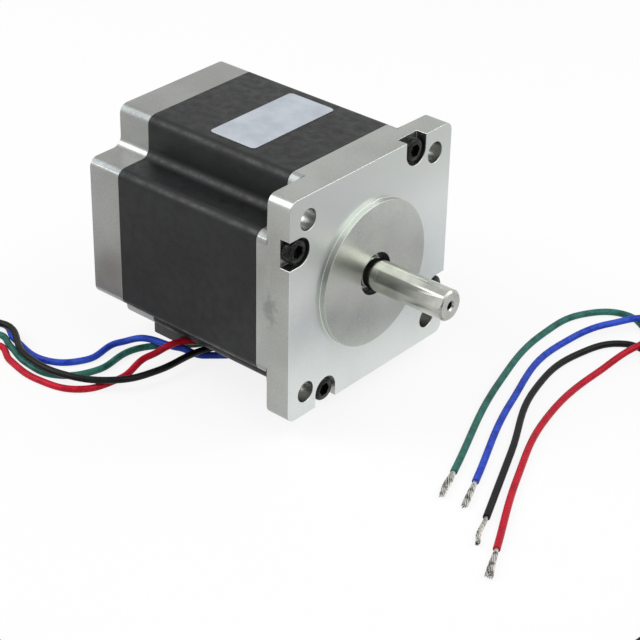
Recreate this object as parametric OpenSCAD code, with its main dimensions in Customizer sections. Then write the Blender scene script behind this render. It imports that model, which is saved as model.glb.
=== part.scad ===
// Stepper motor with a square 60 mm frame, a shaft with one flat and four flying leads.
// +X runs along the shaft and out of the front, +Z is up, and sizes are in millimetres.
// The origin is on the shaft axis, in the front face of the square flange.

/* [Frame] */
// Width and height of the square frame
frame_w = 60; // [59:0.5:64]
// Length of the body behind the front face
body_l = 66; // [60:1:90]
// Radius of the outer corners
corner_r = 2.5; // [1.5:0.5:3]
// Width of the frame between the notched corners
narrow_w = 38.4; // [38.2:0.2:39.4]
// Radius in the inner corner of a notch
notch_r = 2.5; // [1:0.5:3]

/* [Front bell] */
// Thickness of the square flange
flange_t = 7; // [5:0.5:8]
// Length of the whole front bell
front_bell_l = 10.5; // [9.5:0.5:13]
// Diameter of the pilot
pilot_d = 38.1; // [37:0.1:39]
// Height of the pilot above the flange
pilot_h = 1.6; // [1:0.1:2.5]
// Thickness of the lip that holds the front bearing
lip_t = 2; // [1.5:0.1:2.5]
// Diameter of the hole that the shaft comes out of
shaft_hole_d = 11; // [10:0.5:14]
// Distance of a mounting hole from the middle of its notch, towards the shaft on both sides
hole_shift = 1.03; // [0.6:0.01:1.4]
// Diameter of a mounting hole
hole_d = 5.5; // [4.5:0.1:6]

/* [Rear bell] */
// Length of the rear bell
rear_bell_l = 10; // [9.5:0.5:14]
// Thickness of its closed rear wall
rear_wall_t = 1.5; // [1.2:0.1:2]
// Room for the wave washer behind the rear bearing
washer_room = 0.8; // [0.6:0.1:1]

/* [Tie screws] */
// Diameter of the shank
screw_d = 3.5; // [3:0.5:3.5]
// Diameter of the head
head_d = 6.2; // [5.5:0.1:6.4]
// Height of the head
head_h = 2.6; // [2:0.1:2.8]
// Width across flats of the socket
socket_af = 3; // [2:0.5:3]
// Depth of the pocket that the head sits in
pocket_deep = 3; // [3:0.1:3.5]
// Distance of the screws from the side that their pocket opens to
screw_inset = 3.4; // [3.2:0.1:3.8]
// Distance of the screws from the middle, along that side
screw_aside = 16.1; // [15.5:0.1:16.3]

/* [Shaft] */
// Diameter of the shaft at its ends
shaft_d = 8; // [7:0.5:8]
// Diameter of the shaft inside the rotor
core_d = 10; // [9:0.5:11]
// Length of the shaft in front of the flange
shaft_out = 24.5; // [20:0.5:40]
// Size across the flat
flat_across = 7.75; // [6.5:0.05:7.75]
// Length of the flat
flat_l = 20; // [8:0.5:20]
// Direction that the flat faces at rest, as an angle about the shaft
flat_turn = 151; // [0:1:359]
// Diameter of the centre hole in the tip
centre_hole_d = 2; // [1:0.1:2.5]

/* [Bearings] */
// Outer diameter of a bearing
bearing_od = 22; // [21:0.5:22.5]
// Width of a bearing
bearing_w = 7; // [6:0.5:7]
// Diameter of a ball
ball_d = 3.97; // [3.5:0.01:4]
// Number of balls in a bearing
ball_count = 7; // [6:1:8]

/* [Rotor and stator] */
// Outer diameter of the rotor
rotor_d = 32; // [30:0.5:32.5]
// Gap between the rotor and the stator
air_gap = 0.15; // [0.1:0.05:0.3]
// Number of teeth on a rotor cup
rotor_teeth = 50; // [40:10:50]
// Depth of the teeth
tooth_deep = 0.8; // [0.5:0.1:1]
// Thickness of a magnet
magnet_t = 3; // [2.5:0.5:4]
// Depth of a magnet's rim under the outside of the rotor
magnet_inset = 2; // [2:0.25:4]
// Teeth on each pole
pole_teeth = 6; // [4:1:6]
// Width of a pole's neck
pole_w = 6; // [5:0.5:6]
// Depth of a stator slot, from the bore to the yoke
slot_deep = 7.65; // [7.25:0.05:8.05]
// Thickness of a winding at the side of its pole
winding_t = 3; // [2:0.1:3.2]

/* [Lead outlet] */
// Width of the outlet block, across the motor
outlet_w = 31; // [26:1:32]
// Length of the block, along the motor
outlet_l = 11; // [9:0.5:12]
// Height of the block under the body
outlet_h = 5; // [4.5:0.5:6]
// Distance of the block from the rear face
outlet_back = 5.8; // [5:0.1:6.5]

/* [Leads] */
// Diameter of a lead over its insulation
lead_d = 1.7; // [1.2:0.1:1.7]
// Diameter of its bare strands
strand_d = 1.2; // [0.6:0.1:1.2]
// Length of the stripped end
strip_l = 10.5; // [5:0.5:12]

/* [Label] */
// Size of the blank label across the motor
label_w = 29.8; // [20:0.2:33]
// Size of the label along the motor
label_l = 14.6; // [10:0.2:20]
// Thickness of the label
label_t = 0.15; // [0.1:0.05:0.3]
// Distance from the front of the stack to the label
label_from_front = 14.4; // [5:0.2:20]

/* [Hidden] */
$fn = 64;
overrun = 1;
// Radial gap between pieces that are fixed to each other
press_gap = 0.02;
// Gap round the tie screws in the holes that they pass
screw_gap = 0.35;
// Gap between pieces that turn past each other
turn_gap = 0.3;

// Places along the shaft, counted from the front face
front_joint = -front_bell_l;
rear_joint = -(body_l - rear_bell_l);
stack_l = front_joint - rear_joint;
front_bearing_x = pilot_h - lip_t - bearing_w;
rear_bearing_x = -body_l + rear_wall_t + washer_room;
shaft_tail = rear_bearing_x - washer_room + turn_gap;

// Bearing section, seen in the plane of the axis
ball_pitch_r = (bearing_od + shaft_d) / 4;
ball_play = 0.065;
groove_r = ball_d / 2 + ball_play;
land_step = 1.4;
outer_land_r = ball_pitch_r + land_step;
inner_land_r = ball_pitch_r - land_step;
ring_bore_r = shaft_d / 2 + press_gap;
shield_t = 0.35;
shield_step = 0.6;
shield_seat = 0.7;
shield_step_r = outer_land_r + shield_seat;
shield_inset = 0.15;
cage_half_t = 0.9;
cage_back = 1;
cage_front = 2.6;
cage_play = 0.12;

// Rotor, from two sections of two cups with a magnet between them
rotor_end_gap = 1.5;
section_gap = 0.9;
rotor_front = front_joint - rotor_end_gap;
rotor_rear = rear_joint + rotor_end_gap;
section_l = (rotor_front - rotor_rear - section_gap) / 2;
magnet_recess = 1;
magnet_d = rotor_d - 2 * magnet_inset;
cup_l = (section_l - magnet_t + 2 * magnet_recess) / 2;
rotor_pitch = 360 / rotor_teeth;
tooth_half = 1.45;
tooth_relief = 0.2;
sleeve_over = 0.1;
sleeve_r = inner_land_r + sleeve_over;
core_bore_r = core_d / 2 + press_gap;

// Stator section
pole_count = 8;
bore_r = rotor_d / 2 + air_gap;
yoke_r = bore_r + slot_deep;
stator_slot_r = bore_r + tooth_deep;
pole_pitch = 360 / pole_count;
stator_pitch = 7.2;
tip_half = (pole_teeth - 1) / 2 * stator_pitch + tooth_half;
tip_t = 1.5;
neck_t = 2;
tip_back_r = bore_r + tip_t;
neck_r = bore_r + neck_t;
neck_turn = asin(pole_w / 2 / yoke_r);
yoke_steps = 4;

// Windings and their end plates
liner_t = 0.5;
plate_t = 0.8;
plate_wall_h = 3.5;
plate_under = 0.2;
plate_over_share = 0.225;
plate_inner_r = yoke_r - plate_under;
plate_outer_r = yoke_r + (frame_w / 2 - yoke_r) * plate_over_share;
tip_wall_gap = 0.5;
tip_wall_in = bore_r + tip_wall_gap;
winding_in_r = neck_r + liner_t;
winding_half = pole_w / 2 + liner_t + winding_t;
winding_out_r = sqrt(yoke_r * yoke_r - winding_half * winding_half) - liner_t;
winding_bend = liner_t;
turn_room = 1.5;
pocket_l = plate_t + winding_t + turn_room;
pocket_out_r = plate_outer_r + turn_gap;
hub_gap = 2.15;
hub_r = tip_wall_in - hub_gap;

// Mounting holes
hole_spacing = (frame_w + narrow_w) / 2 - 2 * hole_shift;

// Tie screws
screw_far = frame_w / 2 - screw_inset;
tie_hole_r = screw_d / 2 + screw_gap;
tapped_r = screw_d / 2 + press_gap;
pocket_play = 1.2;
pocket_w = head_d + pocket_play;
screw_short = 2;
socket_deep = 1.5;
head_chamfer = 0.4;

// Shaft tip, and the grinding relief that parts the ground end from the bearing seat
relief_l = 1;
relief_deep = 0.25;
relief_inset = 0.2;
relief_front = pilot_h - relief_inset;
relief_rear = relief_front - relief_l;
relief_r = shaft_d / 2 - relief_deep;
tip_chamfer = 0.5;
centre_hole_l = 4;
centre_sink_over = 0.8;
centre_sink_d = centre_hole_d + centre_sink_over;
centre_sink_l = 0.4;

// Wave washer
washer_t = 0.3;
washer_wave = 0.2;
washer_play = 0.2;
washer_w = 1.6;
washer_out_r = bearing_od / 2 - washer_play;
washer_in_r = washer_out_r - washer_w;
washer_steps = 48;
washer_waves = 3;

// Lead outlet
outlet_x = -body_l + outlet_back;
outlet_r = 1;
tongue_shoulder = 2;
tongue_w = outlet_w - 2 * tongue_shoulder;
tongue_gap = 0.05;
tongue_under = 0.8;
tongue_top = pocket_out_r + tongue_under;
label_r = 1.2;

// Leads. A lead lies on the floor or, where it crosses one, on top of another.
tube_sides = 8;
floor_z = -34.1;
over_z = -32;
exit_z = -32.5;
// In the round part, a bundle of four, the leads change places where these two heights meet
side_z = -32.6;
top_z = -31.2;
// Heights on the way from one layer to the other
rise_z = -33;

red_route = [
    [-49.2, -2, exit_z], [-46.5, -2, exit_z], [-41.8, -6.5, over_z], [-43.6, -14, -31.4],
    [-46, -20.5, -30.1], [-49.2, -28, -32.2], [-49.3, -38.5, floor_z], [-53, -48.5, floor_z],
    [-64, -52.6, floor_z], [-76, -51.3, floor_z], [-84.5, -48.6, floor_z], [-87, -54, rise_z],
    [-77, -76, over_z], [-41, -110, over_z], [5, -127.9, side_z], [52.5, -110.5, floor_z],
    [90.5, -72, floor_z], [106.4, -36, floor_z], [93, 8, floor_z], [62, 46.5, floor_z],
    [52, 60.5, rise_z], [47.3, 66.8, over_z], [42.8, 66.8, over_z], [41.2, 60.5, over_z],
    [38.9, 45, floor_z], [41.5, 19, floor_z], [51, -6, floor_z], [63.5, -31, floor_z]
];
black_route = [
    [-49.2, 2, exit_z], [-45.5, 2, exit_z], [-39.5, -2, exit_z], [-38.2, -9, over_z],
    [-41.2, -18.5, over_z], [-42.6, -32, over_z], [-46.5, -41, over_z], [-58.5, -48.7, over_z],
    [-72.5, -49, over_z], [-89.3, -42.9, over_z], [-92.7, -49, over_z], [-79, -78, over_z],
    [-42.5, -112, over_z], [5, -129.4, top_z], [52.5, -110.5, over_z], [90.5, -72, over_z],
    [106.4, -36, over_z], [93, 8, over_z], [60, 46, over_z], [50.5, 57.5, rise_z],
    [43, 62.6, floor_z], [36.5, 62.3, floor_z], [30.2, 50, floor_z], [31.5, 29, floor_z],
    [43.5, 2, floor_z], [54.7, -23, floor_z]
];
green_route = [
    [-49.2, -6, exit_z], [-46.5, -6, exit_z], [-43.6, -9.5, -33.2], [-46.8, -14, floor_z],
    [-53.2, -20.6, floor_z], [-56.6, -27, floor_z], [-56.5, -40, floor_z], [-62.5, -48.2, floor_z],
    [-72.5, -49.2, floor_z], [-81, -46.7, floor_z], [-88.2, -45, floor_z], [-90.7, -51.3, floor_z],
    [-77, -76, floor_z], [-41, -110, floor_z], [5, -129.4, floor_z], [54, -112.5, floor_z],
    [92.5, -73.5, floor_z], [108.6, -36, floor_z], [95.3, 9, floor_z], [64.5, 49, floor_z],
    [48.5, 67.5, floor_z], [37, 72, floor_z], [28.5, 75, floor_z], [20, 68, floor_z],
    [17.5, 53, floor_z], [23, 25, floor_z], [38.2, -13.8, floor_z]
];
blue_route = [
    [-49.2, 6, exit_z], [-44.5, 6, exit_z], [-35, 1, floor_z], [-34.5, -8, floor_z],
    [-41, -16, floor_z], [-46.3, -20.2, over_z], [-55.5, -22.6, over_z], [-61, -27, -33.5],
    [-62, -38, floor_z], [-69, -45, floor_z], [-82.6, -43.7, floor_z], [-91.7, -40.9, floor_z],
    [-95, -47.5, floor_z], [-79, -78, floor_z], [-42.5, -112, floor_z], [5, -130.9, side_z],
    [54, -112.5, over_z], [92.5, -73.5, over_z], [108.6, -36, over_z], [95.3, 9, over_z],
    [66, 51, over_z], [49, 73, over_z], [37.5, 75.5, over_z], [29.5, 65, over_z], [24, 50, floor_z],
    [30.5, 20, floor_z], [44.4, -13.5, floor_z]
];

// Geometry helpers
function unit(v) = v / norm(v);
function polar(r, turn) = [r * cos(turn), r * sin(turn)];
function turned(p, turn) = [p[0] * cos(turn) - p[1] * sin(turn), p[0] * sin(turn) + p[1] * cos(turn)];

// Stands a flat shape or a turned one across the shaft, growing towards the front from x
module along_shaft(x) {
    translate([x, 0, 0]) rotate([90, 0, 90]) children();
}

module rounded_box(w, h, r) {
    square([w - 2 * r, h], center = true);
    square([w, h - 2 * r], center = true);
    for (side = [-1, 1], level = [-1, 1]) {
        translate([side * (w / 2 - r), level * (h / 2 - r)]) circle(r);
    }
}

module round_bar(x, l, r) {
    along_shaft(x) cylinder(h = l, r = r);
}

module tube_ring(x, l, in_r, out_r) {
    along_shaft(x) rotate_extrude() translate([in_r, 0]) square([out_r - in_r, l]);
}

// Outline of the body, a square with its four corners notched and filleted
module body_outline() {
    rounded_box(frame_w, narrow_w, corner_r);
    rounded_box(narrow_w, frame_w, corner_r);
    for (quarter = [0:3]) {
        rotate(90 * quarter) translate([narrow_w / 2, narrow_w / 2]) {
            difference() {
                square(notch_r);
                translate([notch_r, notch_r]) circle(notch_r);
            }
        }
    }
}

// The four tie screws sit in a pinwheel, each beside a corner
module at_tie_screws() {
    for (quarter = [0:3]) {
        rotate(-90 * quarter) translate([-screw_far, screw_aside]) children();
    }
}

module tie_holes(r) {
    at_tie_screws() circle(r);
}

module mounting_holes() {
    for (side = [-1, 1], level = [-1, 1]) {
        along_shaft(-flange_t - overrun) {
            translate([side * hole_spacing / 2, level * hole_spacing / 2, 0]) {
                cylinder(h = flange_t + 2 * overrun, d = hole_d);
            }
        }
    }
}

// A pocket for a screw head that runs out through the side of the flange
module head_pocket() {
    circle(d = pocket_w);
    translate([-frame_w / 2, -pocket_w / 2]) square([frame_w / 2, pocket_w]);
}

// Front bell: the square flange, the pilot, the bearing seat and room for the winding ends
module front_bell() {
    color("silver") difference() {
        union() {
            along_shaft(-flange_t) linear_extrude(flange_t) rounded_box(frame_w, frame_w, corner_r);
            along_shaft(front_joint) linear_extrude(front_bell_l) body_outline();
            round_bar(-overrun, pilot_h + overrun, pilot_d / 2);
        }
        mounting_holes();
        along_shaft(-pocket_deep) linear_extrude(pocket_deep + overrun) at_tie_screws() head_pocket();
        along_shaft(front_joint - overrun) linear_extrude(front_bell_l + 2 * overrun) tie_holes(tie_hole_r);
        round_bar(front_bearing_x, bearing_w + lip_t + overrun, shaft_hole_d / 2);
        round_bar(front_joint - overrun, front_bearing_x + bearing_w - front_joint + overrun,
            bearing_od / 2 + press_gap);
        tube_ring(front_joint - overrun, pocket_l + overrun, hub_r, pocket_out_r);
    }
}

// Rear bell: closed at the back, with the rear bearing seat and a slot for the outlet's tongue
module rear_bell() {
    color("silver") difference() {
        along_shaft(-body_l) linear_extrude(rear_bell_l) body_outline();
        round_bar(-body_l + rear_wall_t, rear_bell_l, bearing_od / 2 + press_gap);
        tube_ring(rear_joint - pocket_l, pocket_l + overrun, hub_r, pocket_out_r);
        along_shaft(-body_l - overrun) linear_extrude(rear_bell_l + 2 * overrun) tie_holes(tapped_r);
        translate([outlet_x, -tongue_w / 2, -frame_w / 2 - overrun]) {
            cube([rear_joint - outlet_x + overrun, tongue_w,
                frame_w / 2 + overrun - pocket_out_r + turn_gap]);
        }
    }
}

// Outline of the room inside the stack: the bore, the slots between the poles and the pole teeth
function pole_room(middle) = concat(
    [for (i = [0:yoke_steps])
        polar(yoke_r, middle - pole_pitch + neck_turn + i * (pole_pitch - 2 * neck_turn) / yoke_steps)],
    [turned([neck_r, -pole_w / 2], middle)],
    [polar(tip_back_r, middle - tip_half)],
    [for (i = [0:pole_teeth - 1]) let (at = middle + (i - (pole_teeth - 1) / 2) * stator_pitch)
        each concat(
            [polar(bore_r, at - tooth_half), polar(bore_r, at + tooth_half)],
            i == pole_teeth - 1 ? [] : [
                polar(stator_slot_r, at + tooth_half + tooth_relief),
                polar(stator_slot_r, at + stator_pitch - tooth_half - tooth_relief)
            ])],
    [polar(tip_back_r, middle + tip_half)],
    [turned([neck_r, pole_w / 2], middle)]
);

module stator_stack() {
    color("dimgray") along_shaft(rear_joint) linear_extrude(stack_l) difference() {
        body_outline();
        polygon([for (i = [0:pole_count - 1]) each pole_room(i * pole_pitch)]);
        tie_holes(tie_hole_r);
    }
}

// One end plate of the windings, with a wall outside and a short wall on each pole tip
module end_plate() {
    rotate_extrude() translate([plate_inner_r, 0]) square([plate_outer_r - plate_inner_r, plate_wall_h]);
    for (i = [0:pole_count - 1]) {
        rotate(i * pole_pitch) {
            translate([tip_wall_in, -pole_w / 2, 0]) {
                cube([yoke_r - tip_wall_in, pole_w, plate_t]);
            }
            rotate(-tip_half) rotate_extrude(angle = 2 * tip_half) {
                translate([tip_wall_in, 0]) square([winding_in_r - liner_t / 2 - tip_wall_in, plate_wall_h]);
            }
        }
    }
}

module front_end_plate() {
    color("ivory") along_shaft(front_joint) end_plate();
}

module rear_end_plate() {
    color("ivory") along_shaft(rear_joint) mirror([0, 0, 1]) end_plate();
}

// Every other pole carries a winding of the same phase
module windings(first) {
    color("peru") for (i = [first:2:pole_count - 1]) {
        along_shaft((front_joint + rear_joint) / 2) rotate(i * pole_pitch) {
            translate([winding_in_r, 0, 0]) rotate([90, 0, 90]) {
                linear_extrude(winding_out_r - winding_in_r) difference() {
                    rounded_box(2 * winding_half, stack_l + 2 * (plate_t + winding_t), winding_t);
                    rounded_box(2 * (winding_half - winding_t), stack_l + 2 * plate_t, winding_bend);
                }
            }
        }
    }
}

module phase_a_windings() {
    windings(0);
}

module phase_b_windings() {
    windings(1);
}

// Socket head screws that pull the two bells and the stack together
module tie_screws() {
    shank_l = body_l - pocket_deep - screw_short;
    color([0.2, 0.2, 0.2]) along_shaft(-pocket_deep) at_tie_screws() {
        difference() {
            rotate_extrude() polygon([
                [0, -shank_l], [screw_d / 2, -shank_l], [screw_d / 2, 0], [head_d / 2, 0],
                [head_d / 2, head_h - head_chamfer], [head_d / 2 - head_chamfer, head_h], [0, head_h]
            ]);
            translate([0, 0, head_h - socket_deep]) {
                cylinder(h = socket_deep + overrun, d = socket_af / cos(30), $fn = 6);
            }
        }
    }
}

// Blank label on the top of the stack
module label() {
    color("whitesmoke") translate([front_joint - label_from_front - label_l / 2, 0, frame_w / 2]) {
        linear_extrude(label_t) rounded_box(label_l, label_w, label_r);
    }
}

// Block that the leads come out of, with a tongue that goes up into the rear bell
module lead_outlet() {
    color([0.12, 0.12, 0.12]) {
        translate([outlet_x + outlet_l / 2, 0, -frame_w / 2 - outlet_h]) {
            linear_extrude(outlet_h) rounded_box(outlet_l, outlet_w, outlet_r);
        }
        translate([outlet_x + tongue_gap, -tongue_w / 2 + tongue_gap, -frame_w / 2 - outlet_h / 2]) {
            cube([rear_joint - outlet_x - 2 * tongue_gap, tongue_w - 2 * tongue_gap,
                frame_w / 2 + outlet_h / 2 - tongue_top]);
        }
    }
}

// Shaft, thicker inside the rotor, with a relief in front of the bearing, a flat, and a centre hole
module shaft() {
    front_step = front_bearing_x;
    rear_step = rear_bearing_x + bearing_w;
    color("lightgray") difference() {
        along_shaft(0) rotate_extrude() polygon([
            [0, shaft_tail], [shaft_d / 2, shaft_tail], [shaft_d / 2, rear_step], [core_d / 2, rear_step],
            [core_d / 2, front_step], [shaft_d / 2, front_step], [shaft_d / 2, relief_rear],
            [relief_r, relief_rear], [relief_r, relief_front], [shaft_d / 2, relief_front],
            [shaft_d / 2, shaft_out - tip_chamfer], [shaft_d / 2 - tip_chamfer, shaft_out], [0, shaft_out]
        ]);
        rotate([flat_turn, 0, 0]) translate([shaft_out - flat_l, flat_across - shaft_d / 2, -shaft_d]) {
            cube([flat_l + overrun, shaft_d, 2 * shaft_d]);
        }
        round_bar(shaft_out - centre_hole_l, centre_hole_l + overrun, centre_hole_d / 2);
        along_shaft(shaft_out - centre_sink_l) {
            cylinder(h = centre_sink_l, d1 = centre_hole_d, d2 = centre_sink_d);
        }
    }
}

// Outline of a toothed rotor cup
function rotor_outline(first) = [
    for (i = [0:rotor_teeth - 1]) let (at = first + i * rotor_pitch)
        each [
            polar(rotor_d / 2, at - tooth_half), polar(rotor_d / 2, at + tooth_half),
            polar(rotor_d / 2 - tooth_deep, at + tooth_half + tooth_relief),
            polar(rotor_d / 2 - tooth_deep, at + rotor_pitch - tooth_half - tooth_relief)
        ]
];

// A cup has its recess for the magnet on its rear side
module rotor_cup(first) {
    difference() {
        linear_extrude(cup_l) polygon(rotor_outline(first));
        translate([0, 0, -overrun]) cylinder(h = cup_l + 2 * overrun, r = core_bore_r);
        translate([0, 0, -overrun]) cylinder(h = magnet_recess + overrun, r = magnet_d / 2 + press_gap);
    }
}

// The two cups of a section face each other, half a tooth apart
module rotor_cups(x) {
    color("darkgray") {
        along_shaft(x + section_l - cup_l) rotor_cup(0);
        along_shaft(x + cup_l) mirror([0, 0, 1]) rotor_cup(rotor_pitch / 2);
    }
}

module front_rotor_cups() {
    rotor_cups(rotor_front - section_l);
}

module rear_rotor_cups() {
    rotor_cups(rotor_rear);
}

module rotor_magnets() {
    color("slategray") for (x = [rotor_front - section_l, rotor_rear]) {
        tube_ring(x + (section_l - magnet_t) / 2, magnet_t, core_bore_r, magnet_d / 2);
    }
}

module rotor_spacer() {
    color("gray") tube_ring(rotor_rear + section_l, section_gap, core_bore_r, magnet_d / 2);
}

// Sleeves between the rotor and the inner rings of the bearings
module front_sleeve() {
    color("gray") tube_ring(rotor_front, front_bearing_x - rotor_front, core_bore_r, sleeve_r);
}

module rear_sleeve() {
    rear_step = rear_bearing_x + bearing_w;
    color("gray") tube_ring(rear_step, rotor_rear - rear_step, core_bore_r, sleeve_r);
}

// Outer ring of a ball bearing, with its groove and a step for a shield on either side
module outer_ring(x) {
    color("gainsboro") along_shaft(x) rotate_extrude() difference() {
        translate([outer_land_r, 0]) square([bearing_od / 2 - outer_land_r, bearing_w]);
        translate([ball_pitch_r, bearing_w / 2]) circle(groove_r);
        for (low = [-overrun, bearing_w - shield_step]) {
            translate([0, low]) square([shield_step_r, shield_step + overrun]);
        }
    }
}

module inner_ring(x) {
    color("gainsboro") along_shaft(x) rotate_extrude() difference() {
        translate([ring_bore_r, 0]) square([inner_land_r - ring_bore_r, bearing_w]);
        translate([ball_pitch_r, bearing_w / 2]) circle(groove_r);
    }
}

module at_balls() {
    for (i = [0:ball_count - 1]) {
        rotate(i * 360 / ball_count) translate([ball_pitch_r, 0, bearing_w / 2]) children();
    }
}

module balls(x) {
    color("white") along_shaft(x) at_balls() sphere(d = ball_d);
}

// Crown cage, a ring that the balls snap into
module ball_cage(x) {
    color("goldenrod") along_shaft(x) difference() {
        rotate_extrude() translate([ball_pitch_r - cage_half_t, bearing_w / 2 - cage_back]) {
            square([2 * cage_half_t, cage_back + cage_front]);
        }
        at_balls() sphere(r = ball_d / 2 + cage_play);
    }
}

module shields(x) {
    color("silver") for (low = [shield_inset, bearing_w - shield_inset - shield_t]) {
        tube_ring(x + low, shield_t, inner_land_r + turn_gap, shield_step_r - press_gap);
    }
}

module front_outer_ring() {
    outer_ring(front_bearing_x);
}

module front_shields() {
    shields(front_bearing_x);
}

module front_inner_ring() {
    inner_ring(front_bearing_x);
}

module front_balls() {
    balls(front_bearing_x);
}

module front_ball_cage() {
    ball_cage(front_bearing_x);
}

module rear_outer_ring() {
    outer_ring(rear_bearing_x);
}

module rear_shields() {
    shields(rear_bearing_x);
}

module rear_inner_ring() {
    inner_ring(rear_bearing_x);
}

module rear_balls() {
    balls(rear_bearing_x);
}

module rear_ball_cage() {
    ball_cage(rear_bearing_x);
}

// Wave washer that presses on the outer ring of the rear bearing
module wave_washer() {
    middle = rear_bearing_x - washer_room / 2;
    points = [
        for (i = [0:washer_steps - 1])
            let (turn = i * 360 / washer_steps, x = middle + washer_wave * cos(washer_waves * turn))
            each [
                [x - washer_t / 2, washer_in_r * cos(turn), washer_in_r * sin(turn)],
                [x - washer_t / 2, washer_out_r * cos(turn), washer_out_r * sin(turn)],
                [x + washer_t / 2, washer_out_r * cos(turn), washer_out_r * sin(turn)],
                [x + washer_t / 2, washer_in_r * cos(turn), washer_in_r * sin(turn)]
            ]
    ];
    faces = [
        for (i = [0:washer_steps - 1], k = [0:3])
            let (here = 4 * i, next = 4 * ((i + 1) % washer_steps), after = (k + 1) % 4)
            each [
                [here + k, here + after, next + after],
                [here + k, next + after, next + k]
            ]
    ];
    color("lightgray") polyhedron(points, faces);
}

// Direction of a route at one of its points, halfway between its two stretches there
function heading(route, i) =
    let (before = max(i, 1), after = min(i, len(route) - 2))
    unit(unit(route[before] - route[before - 1]) + unit(route[after + 1] - route[after]));

function ring_round(route, i, d) =
    let (ahead = heading(route, i), side = unit(cross(ahead, [0, 0, 1])), up = cross(side, ahead))
    [for (k = [0:tube_sides - 1]) let (turn = k * 360 / tube_sides)
        route[i] + d / 2 * (cos(turn) * side + sin(turn) * up)];

// One closed tube along the points of a route
module tube(route, d) {
    last = len(route) - 1;
    faces = concat(
        [[for (k = [tube_sides - 1:-1:0]) k]],
        [for (i = [0:last - 1], k = [0:tube_sides - 1])
            let (here = tube_sides * i, next = here + tube_sides, after = (k + 1) % tube_sides)
            each [
                [here + k, here + after, next + after],
                [here + k, next + after, next + k]
            ]],
        [[for (k = [0:tube_sides - 1]) tube_sides * last + k]]
    );
    polyhedron([for (i = [0:last]) each ring_round(route, i, d)], faces);
}

// Bare strands that go on straight from the last stretch of a lead
module bare_end(route) {
    last = len(route) - 1;
    ahead = unit(route[last] - route[last - 1]);
    color("lightgray") translate(route[last]) rotate([0, acos(ahead[2]), atan2(ahead[1], ahead[0])]) {
        cylinder(h = strip_l, d = strand_d);
    }
}

module red_lead() {
    color("crimson") tube(red_route, lead_d);
}

module green_lead() {
    color("darkslategray") tube(green_route, lead_d);
}

module black_lead() {
    color([0.1, 0.1, 0.1]) tube(black_route, lead_d);
}

module blue_lead() {
    color("royalblue") tube(blue_route, lead_d);
}

module red_lead_end() {
    bare_end(red_route);
}

module green_lead_end() {
    bare_end(green_route);
}

module black_lead_end() {
    bare_end(black_route);
}

module blue_lead_end() {
    bare_end(blue_route);
}

front_bell();
stator_stack();
rear_bell();
tie_screws();
label();
lead_outlet();
front_end_plate();
rear_end_plate();
phase_a_windings();
phase_b_windings();
shaft();
front_rotor_cups();
rear_rotor_cups();
rotor_magnets();
rotor_spacer();
front_sleeve();
rear_sleeve();
front_outer_ring();
front_shields();
front_inner_ring();
front_balls();
front_ball_cage();
rear_outer_ring();
rear_shields();
rear_inner_ring();
rear_balls();
rear_ball_cage();
wave_washer();
red_lead();
green_lead();
black_lead();
blue_lead();
red_lead_end();
green_lead_end();
black_lead_end();
blue_lead_end();
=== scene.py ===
# %% [markdown]
# # A stepper motor with four flying leads
# This lesson dresses a hybrid stepper motor of 60 mm. Its frame is a stack of steel sheets,
# painted black, between two aluminium bells. A ground steel shaft comes out of the front bell,
# and four leads come out of a small block under the rear one.
#
# The solid parts come first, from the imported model. They already have their real size and
# place, in metres, with +X along the shaft and +Z up. What shows is then modelled again with
# finer edges, and what is hidden inside keeps its shape and gets its finish.

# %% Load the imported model
import math
import bmesh
import bpy
from mathutils import Matrix, Vector


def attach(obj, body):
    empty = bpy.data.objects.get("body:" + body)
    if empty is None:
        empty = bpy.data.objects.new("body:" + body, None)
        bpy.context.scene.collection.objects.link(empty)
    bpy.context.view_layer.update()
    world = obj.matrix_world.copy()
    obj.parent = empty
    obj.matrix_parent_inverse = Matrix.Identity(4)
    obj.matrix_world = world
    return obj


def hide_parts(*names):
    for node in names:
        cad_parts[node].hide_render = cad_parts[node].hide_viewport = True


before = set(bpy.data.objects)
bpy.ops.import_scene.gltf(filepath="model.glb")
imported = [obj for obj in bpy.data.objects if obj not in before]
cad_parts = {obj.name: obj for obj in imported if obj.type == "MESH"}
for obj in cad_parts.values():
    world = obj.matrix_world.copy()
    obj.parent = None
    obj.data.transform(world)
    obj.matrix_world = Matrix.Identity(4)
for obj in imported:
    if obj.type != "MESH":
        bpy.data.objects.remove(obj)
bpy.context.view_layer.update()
mm = 0.001

# %% [markdown]
# ## The camera
# A product picture like this is taken with a long lens from a little above, so that edges stay
# nearly parallel. The camera's place was worked out from the corners of the flange, which is a
# square of known size. Turning about Z, then X, then the camera's own axis keeps the three
# angles apart, which a set of Euler angles would mix.

# %% Set up the camera
camera_place = Vector((262.2, -329.7, 240.7)) * mm
camera_azimuth = math.radians(40.14)
camera_elevation = math.radians(31.18)
camera_roll = math.radians(1.19)
lens_length = 112.2
sensor_width = 36


def add_object(name, data):
    """A new object in the scene."""
    new = bpy.data.objects.new(name, data)
    bpy.context.scene.collection.objects.link(new)
    return new


camera = add_object("camera", bpy.data.cameras.new("camera"))
camera.data.lens = lens_length
camera.data.sensor_width = sensor_width
camera.data.clip_start = 10 * mm
camera.matrix_world = (
    Matrix.Translation(camera_place)
    @ Matrix.Rotation(camera_azimuth, 4, "Z")
    @ Matrix.Rotation(math.pi / 2 - camera_elevation, 4, "X")
    @ Matrix.Rotation(camera_roll, 4, "Z")
)
bpy.context.scene.camera = camera
print("camera is", round(camera_place.length, 3), "m from the front face")

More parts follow.
